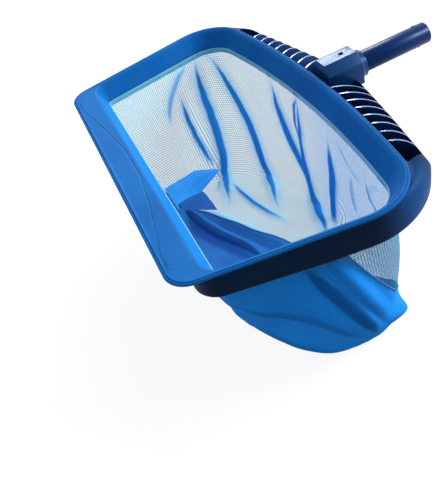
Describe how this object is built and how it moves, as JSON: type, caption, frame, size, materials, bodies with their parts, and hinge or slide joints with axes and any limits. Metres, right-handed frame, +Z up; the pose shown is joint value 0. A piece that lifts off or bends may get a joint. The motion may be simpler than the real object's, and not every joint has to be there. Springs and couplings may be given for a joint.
{
  "type": "leaf skimmer net",
  "caption": "Blue pool leaf skimmer net with a moulded scoop frame, ribbed back, deep mesh bag and a pole tube with a sprung button clip.",
  "frame": {"origin": "under the middle of the object, on the plane that the bag's foot rests on", "axes": "+Z up out of the mouth; +Y from the lip towards the pole tube; +X to the right, the side that the bag leans to"},
  "size_m": [0.5166, 0.445, 0.193],
  "materials": {
    "blue_moulding": "semi-gloss moulded polypropylene",
    "blue_tube": "glossy",
    "pale_net": "fine knitted mesh, single layer",
    "blue_net": "fine knitted mesh, dense",
    "tape": "woven tape",
    "steel": "stainless",
    "dark_plastic": "matt"
  },
  "bodies": {
    "frame": {"front_frame": "blue_moulding", "rear_frame": "blue_moulding", "frame_screws": "steel", "hem_tape": "tape", "bead_cord": "tape", "bag_mesh_panel": "pale_net", "bag_front_panel": "blue_net", "bag_base_panel": "blue_net", "bag_seam_tapes": "tape", "hub": "blue_moulding", "hub_collar": "blue_moulding", "hub_screw": "steel", "saddle_screws": "steel", "pole_tube": "blue_tube", "clip_holder": "dark_plastic", "holder_pin": "steel", "clip_bend": "steel"},
    "upper_clip": {"clip_arm_upper": "steel", "clip_button_upper": "dark_plastic"},
    "lower_clip": {"clip_arm_lower": "steel", "clip_button_lower": "dark_plastic"}
  },
  "joints": [
    {"name": "upper_button", "type": "hinge", "parent": "frame", "child": "upper_clip", "pos_m": [-0.00094, 0.1585, 0.17032], "axis": [-0.9272, 0, -0.3746], "range_deg": [0, 2.75], "stiffness_Nm_per_rad": 8},
    {"name": "lower_button", "type": "hinge", "parent": "frame", "child": "lower_clip", "pos_m": [0.00094, 0.1585, 0.16568], "axis": [0.9272, 0, 0.3746], "range_deg": [0, 2.75], "stiffness_Nm_per_rad": 8}
  ]
}
